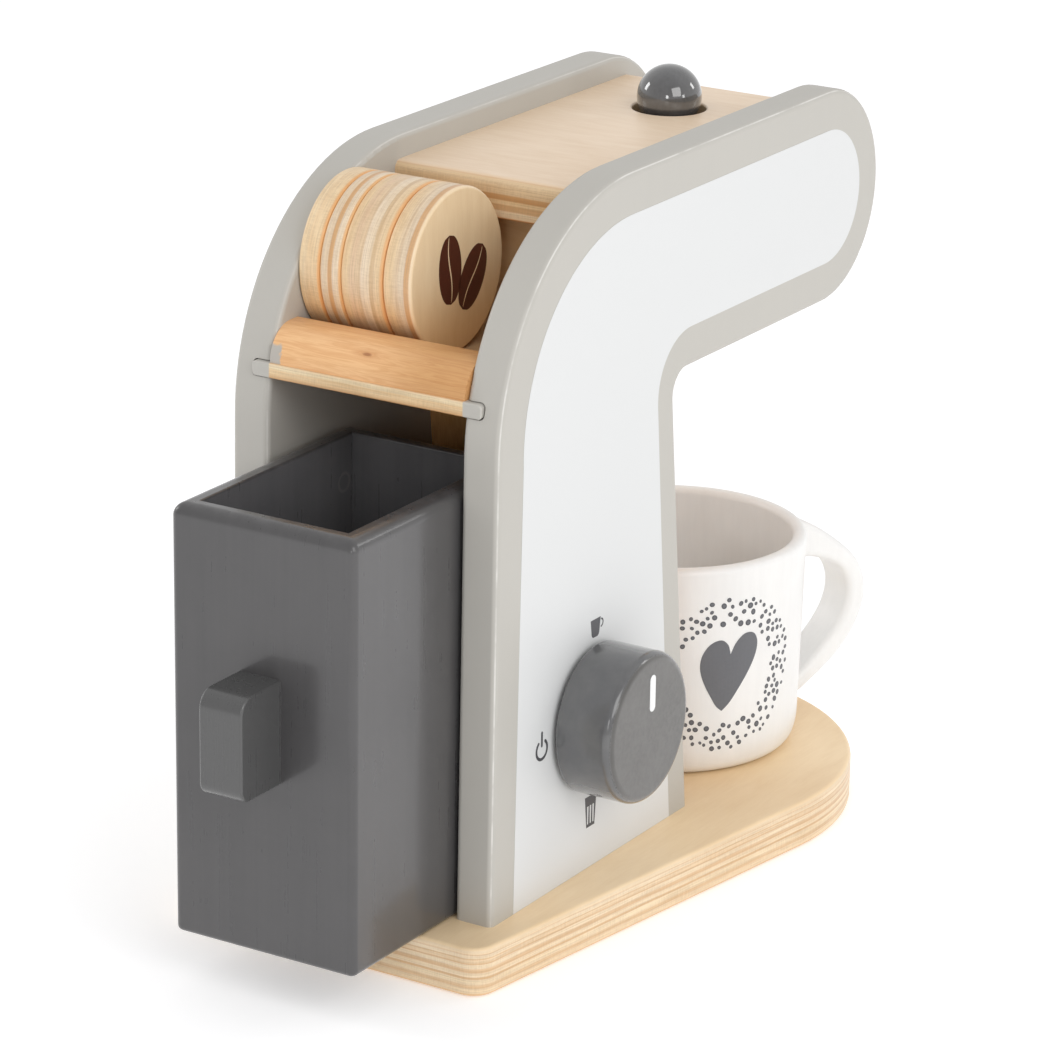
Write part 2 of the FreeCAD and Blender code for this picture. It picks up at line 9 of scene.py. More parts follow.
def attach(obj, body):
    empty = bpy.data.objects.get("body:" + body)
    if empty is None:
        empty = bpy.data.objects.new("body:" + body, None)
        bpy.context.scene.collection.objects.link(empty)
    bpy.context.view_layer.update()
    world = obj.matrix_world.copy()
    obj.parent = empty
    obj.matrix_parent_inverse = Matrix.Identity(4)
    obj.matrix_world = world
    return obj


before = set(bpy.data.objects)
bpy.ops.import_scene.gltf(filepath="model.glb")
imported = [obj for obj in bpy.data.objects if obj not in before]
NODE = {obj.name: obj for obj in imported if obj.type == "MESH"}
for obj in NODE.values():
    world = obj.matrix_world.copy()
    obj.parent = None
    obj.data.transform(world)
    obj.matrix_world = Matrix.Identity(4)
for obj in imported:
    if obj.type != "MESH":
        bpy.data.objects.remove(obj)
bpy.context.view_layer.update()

MM = 0.001
YB = 81.6


# ------------------------------------------------------------------ colours
def C(r, g, b, a=1.0):
    def f(v):
        v = v / 255.0
        return v / 12.92 if v <= 0.04045 else ((v + 0.055) / 1.055) ** 2.4
    return (f(r), f(g), f(b), a)


# ------------------------------------------------------------------ node graphs
class G:
    """A small material graph. Lengths inside it are millimetres in the object's frame."""

    def __init__(self, name):
        self.m = bpy.data.materials.new(name)
        self.m.use_nodes = True
        self.t = self.m.node_tree
        self.t.nodes.clear()
        self.out = self.t.nodes.new("ShaderNodeOutputMaterial")
        self.b = self.t.nodes.new("ShaderNodeBsdfPrincipled")
        self.t.links.new(self.b.outputs[0], self.out.inputs[0])
        tc = self.t.nodes.new("ShaderNodeTexCoord")
        self.p = self.vm("SCALE", tc.outputs["Object"], s=1000.0)
        sep = self.t.nodes.new("ShaderNodeSeparateXYZ")
        self.t.links.new(self.p, sep.inputs[0])
        self.x, self.y, self.z = sep.outputs[0], sep.outputs[1], sep.outputs[2]

    def put(self, sock, v):
        if isinstance(v, bpy.types.NodeSocket):
            self.t.links.new(v, sock)
        elif v is not None:
            sock.default_value = v

    def mt(self, op, a, b=None, c=None, clamp=False):
        n = self.t.nodes.new("ShaderNodeMath")
        n.operation = op
        n.use_clamp = clamp
        self.put(n.inputs[0], a)
        self.put(n.inputs[1], b)
        self.put(n.inputs[2], c)
        return n.outputs[0]

    def vm(self, op, a, b=None, s=None):
        n = self.t.nodes.new("ShaderNodeVectorMath")
        n.operation = op
        self.put(n.inputs[0], a)
        if b is not None:
            self.put(n.inputs[1], b)
        if s is not None:
            self.put(n.inputs["Scale"], s)
        return n.outputs["Value"] if op in ("LENGTH", "DOT_PRODUCT", "DISTANCE") else n.outputs[0]

    def vec(self, x, y, z):
        n = self.t.nodes.new("ShaderNodeCombineXYZ")
        for i, v in enumerate((x, y, z)):
            self.put(n.inputs[i], v)
        return n.outputs[0]

    def noise(self, vec, scale=1.0, detail=3.0, rough=0.5, dist=0.0, kind="FBM"):
        n = self.t.nodes.new("ShaderNodeTexNoise")
        self.put(n.inputs["Vector"], vec)
        n.inputs["Scale"].default_value = scale
        n.inputs["Detail"].default_value = detail
        n.inputs["Roughness"].default_value = rough
        n.inputs["Distortion"].default_value = dist
        return n.outputs["Fac"]

    def voro(self, vec, scale=1.0, rnd=1.0, out="Distance"):
        n = self.t.nodes.new("ShaderNodeTexVoronoi")
        self.put(n.inputs["Vector"], vec)
        n.inputs["Scale"].default_value = scale
        n.inputs["Randomness"].default_value = rnd
        return n.outputs[out]

    def rng(self, v, a, b, c=0.0, d=1.0, smooth=False):
        n = self.t.nodes.new("ShaderNodeMapRange")
        n.clamp = True
        if smooth:
            n.interpolation_type = "SMOOTHSTEP"
        self.put(n.inputs[0], v)
        for i, q in enumerate((a, b, c, d)):
            n.inputs[i + 1].default_value = q
        return n.outputs[0]

    def mix(self, f, a, b, mode="MIX"):
        n = self.t.nodes.new("ShaderNodeMix")
        n.data_type = "RGBA"
        n.blend_type = mode
        n.clamp_factor = True
        self.put(n.inputs[0], f)
        self.put(n.inputs[6], a)
        self.put(n.inputs[7], b)
        return n.outputs[2]

    def ramp(self, v, stops, mode="LINEAR"):
        n = self.t.nodes.new("ShaderNodeValToRGB")
        n.color_ramp.interpolation = mode
        e = n.color_ramp.elements
        while len(e) > 1:
            e.remove(e[-1])
        e[0].position, e[0].color = stops[0]
        for p, c in stops[1:]:
            q = e.new(p)
            q.color = c
        self.put(n.inputs[0], v)
        return n.outputs[0]

    def bump(self, h, strength=0.2, dist=0.0002, normal=None):
        n = self.t.nodes.new("ShaderNodeBump")
        n.inputs["Strength"].default_value = strength
        n.inputs["Distance"].default_value = dist
        self.put(n.inputs["Height"], h)
        if normal is not None:
            self.t.links.new(normal, n.inputs["Normal"])
        return n.outputs[0]

    def stretch(self, sx, sy, sz, off=(0, 0, 0)):
        return self.vm("ADD", self.vm("MULTIPLY", self.p, (sx, sy, sz)), off)

    def done(self, col, rough, normal=None, **kw):
        self.put(self.b.inputs["Base Color"], col)
        self.put(self.b.inputs["Roughness"], rough)
        if normal is not None:
            self.t.links.new(normal, self.b.inputs["Normal"])
        names = {"coat": "Coat Weight", "coat_rough": "Coat Roughness", "spec": "Specular IOR Level",
                 "metal": "Metallic", "sss": "Subsurface Weight", "ior": "IOR"}
        for k, v in kw.items():
            self.b.inputs[names[k]].default_value = v
        return self.m


def band(g, v, c, w, soft):
    """1 inside |v-c| < w, falling to 0 over soft."""
    d = g.mt("ABSOLUTE", g.mt("SUBTRACT", v, c))
    return g.rng(d, w, w + soft, 1.0, 0.0, True)


# ------------------------------------------------------------------ wood
def ply(name, axis, lo, hi, grain, stops, tint=(1, 1, 1), rough=0.42, seed=0.0, face_contrast=1.0, coat=0.18, heart=None):
    """Plywood: layers across the axis from lo to hi, face grain along the grain axis."""
    g = G(name)
    q = {"x": g.x, "y": g.y, "z": g.z}[axis]
    sc = {"x": (0.012, 0.05, 0.05), "y": (0.05, 0.012, 0.05), "z": (0.05, 0.05, 0.012)}[grain]
    wander = g.noise(g.stretch(0.03, 0.03, 0.03, (seed, 3.1, 7.7)), 1.0, 2.0)
    wander2 = g.noise(g.stretch(0.35, 0.35, 0.35, (seed, 1.1, 2.7)), 1.0, 2.0)
    u = g.mt("DIVIDE", g.mt("SUBTRACT", q, lo), hi - lo)
    inner = g.mt("MULTIPLY", g.rng(u, 0.03, 0.12), g.rng(u, 0.88, 0.97, 1.0, 0.0))
    shift = g.mt("ADD", g.mt("MULTIPLY", g.mt("SUBTRACT", wander, 0.5), 0.03),
                 g.mt("MULTIPLY", g.mt("SUBTRACT", wander2, 0.5), 0.012))
    uu = g.mt("ADD", u, g.mt("MULTIPLY", shift, inner))
    col = g.ramp(uu, stops)
    # face grain
    gx = g.noise(g.stretch(*sc, off=(seed * 2.3, seed, 5.0)), 6.0, 5.0, 0.62, 0.4)
    fine = {"x": (0.10, 1.6, 1.6), "y": (1.6, 0.10, 1.6), "z": (1.6, 1.6, 0.10)}[grain]
    fg = g.noise(g.stretch(*fine, off=(seed, 0, 0)), 1.0, 4.0, 0.7)
    big = g.noise(g.stretch(0.02, 0.02, 0.02, (seed, seed, 0)), 1.0, 2.0)
    f = g.mt("ADD", g.mt("MULTIPLY", g.mt("SUBTRACT", gx, 0.5), 0.55 * face_contrast),
             g.mt("MULTIPLY", g.mt("SUBTRACT", fg, 0.5), 0.28 * face_contrast))
    f = g.mt("ADD", f, g.mt("MULTIPLY", g.mt("SUBTRACT", big, 0.5), 0.3))
    dark = g.mix(1.0, col, (0.80, 0.70, 0.58, 1), "MULTIPLY")
    light = g.mix(1.0, col, (1.06, 1.08, 1.12, 1), "MULTIPLY")
    col2 = g.mix(g.rng(f, -0.22, 0.22), light, dark)
    # pores, short dashes along the grain
    por = {"x": (0.25, 2.6, 2.6), "y": (2.6, 0.25, 2.6), "z": (2.6, 2.6, 0.25)}[grain]
    v = g.voro(g.stretch(*por, off=(seed * 7, 1, 2)), 1.0, 1.0)
    pm = g.mt("MULTIPLY", g.rng(v, 0.05, 0.16, 1.0, 0.0), g.rng(gx, 0.45, 0.7))
    col3 = g.mix(g.mt("MULTIPLY", pm, 0.22), col2, (0.30, 0.17, 0.08, 1))
    # fibres seen on the cut edges, layers change direction
    ea = {"x": (3.6, 0.10, 0.10), "y": (0.10, 3.6, 0.10), "z": (0.06, 0.06, 3.6)}[axis]
    eb = {"x": (0.5, 3.0, 3.0), "y": (3.0, 0.5, 3.0), "z": (3.0, 3.0, 0.5)}[axis]
    ef = g.mt("ADD", g.mt("MULTIPLY", g.noise(g.stretch(*ea, off=(0, seed, 0)), 1.0, 4.0, 0.7), 0.75),
              g.mt("MULTIPLY", g.noise(g.stretch(*eb, off=(seed, 0, 0)), 1.0, 2.0, 0.5), 0.25))
    em = g.mt("MULTIPLY", inner, g.rng(ef, 0.43, 0.60, 0.0, 0.36))
    col4 = g.mix(em, col3, (0.42, 0.27, 0.15, 1))
    # heart is painted shade, not heartwood: below the heights a to b the wood is tinted darker and warmer by c
    if heart:
        a, b, c = heart
        col4 = g.mix(g.rng(g.z, a, b, 1.0, 0.0, True), col4, g.mix(1.0, col4, c, "MULTIPLY"))
    if tint != (1, 1, 1):
        col4 = g.mix(1.0, col4, (*tint, 1), "MULTIPLY")
    h = g.mt("ADD", g.mt("MULTIPLY", fg, 0.5), g.mt("MULTIPLY", pm, -0.6))
    h = g.mt("ADD", h, g.mt("MULTIPLY", g.mt("MULTIPLY", inner, ef), 0.4))
    r = g.mt("ADD", rough, g.mt("MULTIPLY", g.mt("SUBTRACT", fg, 0.5), 0.18))
    return g.done(col4, r, g.bump(h, 0.12, 0.00010), coat=coat, coat_rough=0.32, spec=0.42)


def solid_wood(name, grain, base, dark, seed=0.0, knot=None, rough=0.42, coat=0.15, patch=None, contrast=1.0, painted_shade_end=None):
    g = G(name)
    low = {"x": (0.010, 0.16, 0.16), "y": (0.16, 0.010, 0.16), "z": (0.16, 0.16, 0.010)}[grain]
    p = g.stretch(*low, off=(seed, seed * 3, 1))
    if knot:
        kx, kz = knot
        dx = g.mt("SUBTRACT", g.x, kx)
        dz = g.mt("MULTIPLY", g.mt("SUBTRACT", g.z, kz), 2.2)
        d = g.mt("SQRT", g.mt("ADD", g.mt("MULTIPLY", g.mt("MULTIPLY", dx, dx), 0.35), g.mt("MULTIPLY", dz, dz)))
        pull = g.mt("DIVIDE", 0.55, g.mt("ADD", d, 1.6))
        p = g.vm("ADD", p, g.vec(0.0, pull, g.mt("MULTIPLY", pull, 0.7)))
    rings = g.noise(p, 5.0, 3.0, 0.55, 0.6)
    saw = g.mt("PINGPONG", g.mt("MULTIPLY", rings, 9.0), 1.0)
    fine = {"x": (0.09, 2.2, 2.2), "y": (2.2, 0.09, 2.2), "z": (2.2, 2.2, 0.09)}[grain]
    fg = g.noise(g.stretch(*fine, off=(seed, 0, 3)), 1.0, 4.0, 0.7)
    f = g.mt("ADD", g.mt("MULTIPLY", saw, 0.45 * contrast), g.mt("MULTIPLY", g.mt("SUBTRACT", fg, 0.35), 0.8 * contrast))
    col = g.mix(g.rng(f, 0.05, 0.95), base, dark)
    if knot:
        core = g.rng(d, 0.35, 0.95, 0.75, 0.0, True)
        halo = g.rng(d, 0.8, 3.2, 0.35, 0.0, True)
        col = g.mix(halo, col, C(196, 128, 74))
        col = g.mix(core, col, C(158, 98, 58))
    if patch:
        x0, z0, z1, c = patch
        e = g.noise(g.stretch(0.6, 0.6, 0.6), 1.0, 3.0)
        m = g.mt("MULTIPLY", g.rng(g.mt("ADD", g.x, g.mt("MULTIPLY", e, 2.0)), x0 + 1.0, x0 + 1.35),
                 g.mt("MULTIPLY", g.rng(g.z, z0, z0 + 0.3), g.rng(g.mt("ADD", g.z, g.mt("MULTIPLY", e, 2.0)), z1, z1 + 0.6, 1.0, 0.0)))
        col = g.mix(m, col, c)
    # painted shade: the wood is darkened and warmed towards the -X end, standing in for the shade cast there by the
    # near panel
    if painted_shade_end:
        a, b, c = painted_shade_end
        col = g.mix(g.rng(g.x, a, b, 0.0, 1.0, True), col, g.mix(1.0, col, c, "MULTIPLY"))
    r = g.mt("ADD", rough, g.mt("MULTIPLY", g.mt("SUBTRACT", fg, 0.5), 0.2))
    return g.done(col, r, g.bump(fg, 0.2, 0.00010), coat=coat, coat_rough=0.3, spec=0.42)


# ------------------------------------------------------------------ paint
def paint(name, colour, brush, rough=0.36, var=0.05, bump=0.16, seed=0.0, coat=0.0, warm=0.03, nibs=True, extra=None, play=1.0):
    """Sprayed or brushed lacquer on wood. brush is the axis that the marks follow."""
    g = G(name)
    big = g.noise(g.stretch(0.018, 0.018, 0.018, (seed, 2, 5)), 1.0, 3.0)
    mid = g.noise(g.stretch(0.12, 0.12, 0.12, (seed, 9, 1)), 1.0, 4.0, 0.6)
    st = {"x": (0.018, 0.75, 0.75), "y": (0.75, 0.018, 0.75), "z": (0.75, 0.75, 0.018)}[brush]
    stc = {"x": (0.010, 0.22, 0.22), "y": (0.22, 0.010, 0.22), "z": (0.22, 0.22, 0.010)}[brush]
    s1 = g.noise(g.stretch(*st, off=(seed, 0, 0)), 1.0, 2.0, 0.5)
    s2 = g.noise(g.stretch(*stc, off=(0, seed, 0)), 1.0, 3.0, 0.6)
    orange = g.noise(g.stretch(0.9, 0.9, 0.9, (0, 0, seed)), 1.0, 2.0, 0.5)
    k = g.mt("ADD", g.mt("MULTIPLY", g.mt("SUBTRACT", big, 0.5), 1.1), g.mt("MULTIPLY", g.mt("SUBTRACT", mid, 0.5), 0.7))
    k = g.mt("ADD", k, g.mt("MULTIPLY", g.mt("SUBTRACT", s2, 0.5), 0.9))
    k = g.mt("ADD", k, g.mt("MULTIPLY", g.mt("SUBTRACT", s1, 0.5), 0.45))
    lo = tuple(c * (1 - 2.2 * var) for c in colour[:3]) + (1,)
    hi = (colour[0] * (1 + 2.2 * var + warm), colour[1] * (1 + 2.2 * var), colour[2] * (1 + 2.2 * var - warm), 1)
    col = g.mix(g.rng(k, -0.45, 0.45), lo, hi)
    h = g.mt("ADD", g.mt("MULTIPLY", s1, 0.8), g.mt("MULTIPLY", orange, 0.9))
    h = g.mt("ADD", h, g.mt("MULTIPLY", s2, 1.2))
    if nibs:
        v = g.voro(g.stretch(0.10, 0.10, 0.10, (seed, seed, 2)), 1.0, 1.0)
        n = g.rng(v, 0.02, 0.055, 1.0, 0.0, True)
        h = g.mt("ADD", h, g.mt("MULTIPLY", n, 1.0))
        col = g.mix(g.mt("MULTIPLY", n, 0.12), col, (0.75, 0.73, 0.70, 1))
    if extra:
        col = extra(g, col)
    r = g.mt("ADD", rough, g.mt("ADD", g.mt("MULTIPLY", g.mt("SUBTRACT", s1, 0.5), 0.22 * play),
                                 g.mt("MULTIPLY", g.mt("SUBTRACT", mid, 0.5), 0.16 * play)))
    return g.done(col, r, g.bump(h, bump, 0.00018), coat=coat, coat_rough=0.12, spec=0.5)


def setmat(node, mat):
    me = NODE[node].data
    me.materials.clear()
    me.materials.append(mat)


CREAM, PALE, TAN, BROWN = C(243, 218, 178), C(248, 231, 203), C(228, 190, 145), C(206, 158, 110)
ORANGE, PINK, GREYC = C(241, 194, 138), C(236, 208, 176), C(233, 215, 190)
FACE = C(255, 233, 197)

BASE_STOPS = [(0.0, C(236, 204, 162)), (0.06, C(236, 204, 162)), (0.09, C(248, 230, 200)), (0.17, C(247, 228, 197)), (0.20, C(233, 202, 163)), (0.25, C(238, 212, 177)),
              (0.28, C(251, 236, 208)), (0.36, C(249, 233, 203)), (0.385, C(226, 190, 148)), (0.41, C(232, 200, 160)), (0.43, C(250, 235, 209)),
              (0.50, C(248, 230, 200)), (0.52, C(229, 196, 157)), (0.58, C(236, 208, 172)), (0.61, C(251, 237, 212)), (0.67, C(249, 233, 205)), (0.69, C(226, 190, 150)),
              (0.715, C(242, 218, 184)), (0.77, C(246, 226, 195)), (0.79, C(230, 196, 155)), (0.81, C(249, 234, 208)), (0.87, C(250, 235, 210)), (0.885, C(236, 206, 168)),
              (0.90, C(247, 229, 200)), (0.95, C(248, 230, 202)), (0.965, FACE), (1.0, FACE)]
setmat("base_board", ply("base_ply", "z", 0.0, 12.0, "y", BASE_STOPS, tint=(0.97, 0.94, 0.89), seed=1.3, rough=0.42, face_contrast=0.38, coat=0.2))

TOP_STOPS = [(0.0, C(150, 96, 52)), (0.02, C(198, 140, 88)), (0.05, C(240, 214, 176)), (0.18, C(247, 226, 192)), (0.22, C(224, 184, 136)),
             (0.34, C(222, 180, 130)), (0.38, C(240, 212, 168)), (0.45, C(238, 208, 162)), (0.48, C(206, 156, 102)), (0.585, C(212, 166, 114)),
             (0.62, C(238, 212, 172)), (0.93, C(240, 216, 178)), (0.955, C(230, 198, 160)), (0.975, C(242, 219, 190)), (1.0, C(243, 221, 194))]
setmat("head_top_board", ply("top_ply", "z", 164.4, 174.1, "x", TOP_STOPS, seed=4.2, rough=0.40, face_contrast=0.55, coat=0.22))

SHELF_STOPS = [(0.0, C(190, 140, 92)), (0.12, C(226, 186, 136)), (0.30, C(238, 206, 160)), (0.42, C(244, 216, 172)), (0.60, C(241, 211, 164)),
               (0.72, C(247, 228, 190)), (0.93, C(244, 224, 188)), (1.0, C(224, 190, 148))]


def shelf_mat():
    m = ply("shelf_ply", "z", 133.6, 137.2, "x", SHELF_STOPS, seed=2.2, rough=0.45, face_contrast=0.8)
    t = m.node_tree
    b = [n for n in t.nodes if n.type == "BSDF_PRINCIPLED"][0]
    src = b.inputs["Base Color"].links[0].from_socket
    sep = [n for n in t.nodes if n.type == "SEPXYZ"][0]
    ab = t.nodes.new("ShaderNodeMath"); ab.operation = "ABSOLUTE"; t.links.new(sep.outputs[0], ab.inputs[0])
    r = t.nodes.new("ShaderNodeMapRange"); t.links.new(ab.outputs[0], r.inputs[0])
    r.inputs[1].default_value, r.inputs[2].default_value = 26.2, 26.55
    mx = t.nodes.new("ShaderNodeMix"); mx.data_type = "RGBA"
    t.links.new(r.outputs[0], mx.inputs[0]); t.links.new(src, mx.inputs[6]); mx.inputs[7].default_value = C(190, 187, 180)
    t.links.new(mx.outputs[2], b.inputs["Base Color"])
    return m


setmat("shelf_board", shelf_mat())
# the rail's -X end carries painted shade, darker towards that end
setmat("retaining_rail", solid_wood("rail_wood", "x", C(244, 196, 143), C(214, 150, 92), seed=3.3, knot=(1.2, 142.9),
                                    patch=(23.6, 137.0, 142.0, C(186, 180, 172)), contrast=0.8, coat=0.12,
                                    painted_shade_end=(4.0, -20.0, (0.74, 0.66, 0.54, 1))))
WALLPLY = [(0.0, C(238, 208, 170)), (0.16, C(238, 208, 170)), (0.2, TAN), (0.35, CREAM), (0.4, BROWN), (0.6, TAN), (0.65, CREAM), (0.8, CREAM), (0.84, C(232, 196, 150)), (1.0, C(232, 196, 150))]
setmat("head_back_board", ply("headback_ply", "y", 14.6, 20.6, "x", WALLPLY, seed=6.1, rough=0.45, face_contrast=0.7))
setmat("head_front_board", ply("headfront_ply", "y", -80.7, -74.7, "x", WALLPLY, seed=6.7, rough=0.45, face_contrast=0.8))
setmat("head_bottom_board", ply("headbottom_ply", "z", 128.5, 134.5, "y", WALLPLY, seed=7.7, rough=0.45, face_contrast=0.8))
# painted shade: the board's deep orange, richer than the pale ply around it, stands in for the warm shade deep in the
# bay, over the wood's own tone
setmat("column_front_board", solid_wood("column_wood", "z", C(238, 182, 116), C(214, 144, 80), seed=5.5, contrast=0.7, coat=0.15))
plain = solid_wood("beech_wood", "z", C(226, 190, 146), C(200, 154, 106), seed=8.5, contrast=0.6, coat=0.05)
for n in ("button_guide_block", "coffee_spout", "panel_dowels", "button_stem", "button_spring_seat", "button_stop_collar", "knob_axle"):
    setmat(n, plain)

# bean discs, layers across X
DT = (5.75, 5.75, 11.45, 7.75)
DX, DSTOPS = [], []
xx = 26.35
for t in DT:
    DX.append((xx - t, xx))
    xx -= t + 0.08
DFACE = C(255, 228, 178)
# stops run from -X to +X
DSTOPS.append([(0.0, C(240, 190, 132)), (0.06, C(238, 186, 128)), (0.13, C(248, 222, 180)), (0.30, C(249, 225, 186)), (0.55, C(246, 220, 180)), (0.72, C(250, 229, 193)), (0.93, C(246, 220, 178)), (1.0, DFACE)])
DSTOPS.append([(0.0, C(240, 194, 138)), (0.07, C(236, 192, 140)), (0.12, PALE), (0.36, C(240, 224, 200)), (0.42, C(226, 182, 132)), (0.56, C(218, 172, 122)), (0.62, C(238, 218, 188)), (0.88, GREYC), (0.95, C(238, 206, 162)), (1.0, DFACE)])
DSTOPS.append([(0.0, C(236, 184, 126)), (0.04, C(238, 190, 136)), (0.09, CREAM), (0.20, C(245, 221, 184)), (0.24, C(226, 198, 160)), (0.30, C(228, 202, 164)), (0.33, PALE), (0.50, C(246, 230, 206)), (0.54, C(232, 206, 172)), (0.60, C(240, 216, 182)), (0.72, PINK), (0.78, C(238, 212, 178)), (0.84, CREAM), (0.96, C(240, 208, 164)), (1.0, DFACE)])
DSTOPS.append([(0.0, C(246, 222, 184)), (0.06, C(249, 230, 198)), (0.11, C(226, 184, 138)), (0.24, C(222, 178, 130)), (0.28, GREYC), (0.42, C(243, 226, 200)), (0.50, C(228, 204, 172)), (0.56, C(240, 218, 186)), (0.70, CREAM), (0.93, C(243, 212, 168)), (1.0, C(238, 190, 136))])
# each disc gets painted shade: darker and warmer below z 141 to 160
for i in range(4):
    setmat("bean_disc_%d" % (i + 1), ply("disc%d_ply" % (i + 1), "x", DX[i][0], DX[i][1], "z", DSTOPS[i], seed=10.0 + 3 * i, rough=0.40,
                                         face_contrast=0.45, coat=0.2, heart=(141.0, 160.0, (0.95, 0.80, 0.64, 1))))

# ------------------------------------------------------------------ painted boards
PANEL = C(187, 184, 177)


def panel_wear_and_highlight(g, col):
    """A thin paler line along the arrises, partly worn lacquer and partly painted highlight where the gloss catches the
    light, broken up by noise.
    """
    n = g.noise(g.stretch(0.06, 0.06, 0.06, (4, 4, 4)), 1.0, 4.0, 0.7)
    ax = g.mt("ABSOLUTE", g.x)
    e = g.mt("ADD", g.mt("MULTIPLY", band(g, ax, 36.06, 0.05, 0.14), 0.9), g.mt("MULTIPLY", band(g, ax, 26.94, 0.05, 0.14), 0.5))
    return g.mix(g.mt("MULTIPLY", e, g.rng(n, 0.40, 0.56, 0.20, 0.85)), col, C(228, 226, 221))


panel_m = paint("panel_lacquer", PANEL, "z", rough=0.46, var=0.006, bump=0.03, seed=2.0, warm=0.002, extra=panel_wear_and_highlight, nibs=False, play=0.4)
setmat("side_panel_knob", panel_m)
setmat("side_panel_plain", panel_m)

TANK = C(72, 71, 72)


def tank_extra(g, col):
    """Rubbed rim and corners, the mark of a filled nail inside, and painted light: the inside faces painted about 2.5
    times lighter than the outside.
    """
    n = g.noise(g.stretch(0.22, 0.22, 0.22, (1, 8, 4)), 1.0, 4.0, 0.7)
    top = g.rng(g.z, 114.9, 115.9, 0.0, 1.0)
    col = g.mix(g.mt("MULTIPLY", top, g.rng(n, 0.46, 0.62, 0.0, 0.10)), col, C(142, 141, 142))
    dy, dz = g.mt("SUBTRACT", g.y, 60.8), g.mt("SUBTRACT", g.z, 104.6)
    d = g.mt("SQRT", g.mt("ADD", g.mt("MULTIPLY", dy, dy), g.mt("MULTIPLY", dz, dz)))
    ring = g.mt("MULTIPLY", band(g, d, 2.2, 0.15, 0.4), band(g, g.x, 18.7, 0.3, 0.2))
    # painted light: the inside faces below the rim are made about 2.5 times lighter than the outside paint, standing in
    # for light reaching into the tank
    inx = g.mt("MULTIPLY", g.rng(g.x, -21.0, -20.85), g.rng(g.x, 18.65, 18.8, 1.0, 0.0))
    iny = g.mt("MULTIPLY", g.rng(g.y, 57.2, 57.35), g.rng(g.y, 117.85, 118.0, 1.0, 0.0))
    inner = g.mt("MULTIPLY", g.mt("MULTIPLY", inx, iny), g.rng(g.z, 115.2, 115.8, 1.0, 0.0))
    col = g.mix(inner, col, g.mix(1.0, col, (2.5, 2.55, 2.6, 1), "MULTIPLY"))
    return g.mix(g.mt("MULTIPLY", ring, 0.35), col, C(140, 138, 136))


tank_v = paint("tank_lacquer", TANK, "z", rough=0.32, var=0.06, bump=0.012, seed=5.0, warm=0.012, extra=tank_extra, coat=0.5, nibs=False)
for n in ("tank_back_board", "tank_front_board", "tank_side_knob", "tank_side_plain", "tank_bottom_board"):
    setmat(n, tank_v)
def knob_mat():
    """Gloss on the rim, where the brush went round, and a duller face."""
    g = G("knob_lacquer")
    a = g.noise(g.stretch(0.10, 0.10, 0.10, (3, 1, 2)), 1.0, 4.0, 0.6)
    dab = g.noise(g.stretch(0.22, 0.9, 0.9, (1, 5, 2)), 1.0, 4.0, 0.6)
    face = g.rng(g.x, -52.3, -51.9, 1.0, 0.0)
    col = g.mix(g.rng(a, 0.35, 0.65), C(88, 88, 90), C(99, 99, 99))
    col = g.mix(face, col, g.mix(g.rng(a, 0.35, 0.65), C(77, 75, 72), C(84, 82, 79)))
    r = g.mt("ADD", g.rng(dab, 0.35, 0.65, 0.10, 0.26), g.mt("MULTIPLY", face, 0.22))
    rim = g.mt("SUBTRACT", 1.0, face)
    h = g.mt("ADD", g.mt("MULTIPLY", a, 0.5), g.mt("MULTIPLY", g.mt("MULTIPLY", dab, rim), 0.5))
    return g.done(col, r, g.bump(h, 0.10, 0.0002), coat=0.75, coat_rough=0.05, spec=0.5)


setmat("tank_handle", paint("handle_lacquer", C(78, 78, 78), "z", rough=0.30, var=0.015, bump=0.006, seed=8.0, warm=0.006, coat=0.5, nibs=False))
setmat("knob", knob_mat())


def ball_mat():
    g = G("ball_gloss")
    a = g.noise(g.stretch(0.35, 0.35, 0.35), 1.0, 3.0)
    vert = g.noise(g.stretch(1.3, 1.3, 0.12), 1.0, 3.0, 0.6)
    col = g.mix(g.rng(g.mt("ADD", a, g.mt("MULTIPLY", vert, 0.4)), 0.5, 0.9), C(70, 70, 71), C(82, 82, 84))
    return g.done(col, g.rng(a, 0.3, 0.7, 0.05, 0.11), g.bump(a, 0.03, 0.0002), coat=1.0, coat_rough=0.03, spec=1.0)


setmat("button_ball", ball_mat())


def steel_mat():
    g = G("zinc_steel")
    a = g.noise(g.stretch(1.5, 1.5, 0.3), 1.0, 3.0)
    return g.done(g.mix(a, C(150, 150, 152), C(205, 205, 204)), g.rng(a, 0.3, 0.7, 0.22, 0.42), g.bump(a, 0.08, 0.0001), metal=1.0)


steel = steel_mat()
for n in ("base_screws", "knob_washer", "button_spring", "tank_handle_screw"):
    setmat(n, steel)


def mug_mat():
    g = G("mug_glaze")
    a = g.noise(g.stretch(0.05, 0.05, 0.05), 1.0, 3.0)
    b = g.noise(g.stretch(0.5, 0.5, 0.06, (3, 3, 3)), 1.0, 4.0, 0.6)
    c = g.noise(g.stretch(0.8, 0.8, 0.8), 1.0, 2.0)
    k = g.mt("ADD", g.mt("MULTIPLY", a, 0.6), g.mt("MULTIPLY", b, 0.4))
    col = g.mix(g.rng(k, 0.35, 0.65), C(233, 232, 230), C(240, 239, 237))
    h = g.mt("ADD", g.mt("MULTIPLY", b, 0.6), g.mt("MULTIPLY", c, 0.5))
    return g.done(col, g.rng(b, 0.3, 0.7, 0.30, 0.44), g.bump(h, 0.10, 0.0002), coat=0.15, coat_rough=0.2, spec=0.5, sss=0.0)


mug_m = mug_mat()
setmat("mug", mug_m)


